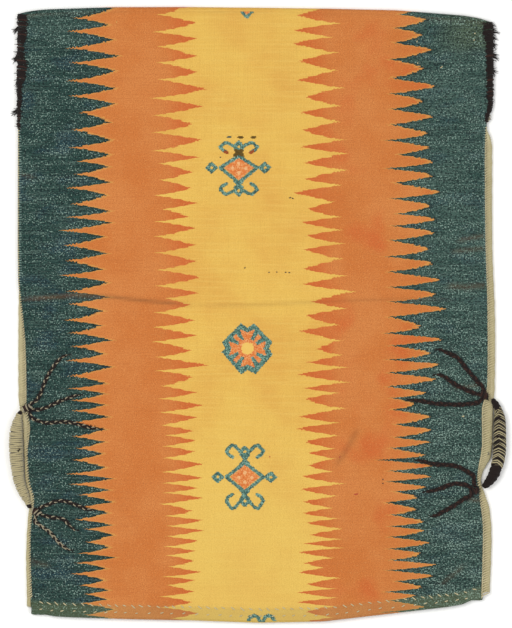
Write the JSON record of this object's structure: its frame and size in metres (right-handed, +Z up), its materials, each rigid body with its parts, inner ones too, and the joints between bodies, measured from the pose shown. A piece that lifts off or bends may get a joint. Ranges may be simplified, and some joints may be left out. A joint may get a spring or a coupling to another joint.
{
  "type": "kilim saddle bag",
  "caption": "Flat woven wool pack bag with an open mouth, a patterned tapestry face, a plain cream back, dark edge bindings and a rope handle on each side.",
  "frame": {"origin": "middle of the bag's outline, on the surface that it lies on", "axes": "+Z up out of the patterned face, +Y along the bag towards its closed base fold, -Y towards the open mouth, +X across to the dark rope handle"},
  "size_m": [0.6709, 0.8302, 0.0203],
  "materials": {
    "kilim_wool": "tapestry-woven wool",
    "cream_cloth": "plain-woven undyed wool",
    "goat_hair": "spun goat hair",
    "cream_yarn": "twisted wool yarn",
    "two_tone_plait": "plaited goat hair and cream wool",
    "stitch_thread": "twisted wool sewing thread"
  },
  "bodies": {
    "bag": {"kilim_panel": "kilim_wool", "kilim_turned_under": "kilim_wool", "back_panel": "cream_cloth", "side_seam_left": "stitch_thread", "side_seam_right": "stitch_thread", "hem_thread_upper": "stitch_thread", "hem_thread_lower": "stitch_thread", "lap_seam_thread": "stitch_thread", "binding_left": "goat_hair", "binding_right": "goat_hair", "knot_left_upper": "goat_hair", "knot_left_lower": "goat_hair", "knot_right_upper": "goat_hair", "knot_right_lower": "goat_hair", "plait_left_upper_1": "two_tone_plait", "plait_left_upper_2": "two_tone_plait", "plait_left_upper_3": "two_tone_plait", "plait_left_lower_1": "two_tone_plait", "plait_left_lower_2": "two_tone_plait", "plait_left_lower_3": "two_tone_plait", "plait_right_upper_1": "goat_hair", "plait_right_upper_2": "goat_hair", "plait_right_upper_3": "goat_hair", "plait_right_lower_1": "goat_hair", "plait_right_lower_2": "goat_hair", "plait_right_lower_3": "goat_hair"},
    "handle_left": {"handle_left_rope": "goat_hair", "handle_left_wrap": "cream_yarn"},
    "handle_right": {"handle_right_rope": "goat_hair", "handle_right_wrap": "cream_yarn"}
  },
  "joints": [
    {"name": "handle_left_lift", "type": "hinge", "parent": "bag", "child": "handle_left", "pos_m": [-0.3129, -0.19435, 0.0115], "axis": [-0.0978, 0.9952, 0], "range_deg": [0, 125]},
    {"name": "handle_right_lift", "type": "hinge", "parent": "bag", "child": "handle_right", "pos_m": [0.30845, -0.1724, 0.0115], "axis": [-0.1129, -0.9936, 0], "range_deg": [0, 125]}
  ]
}
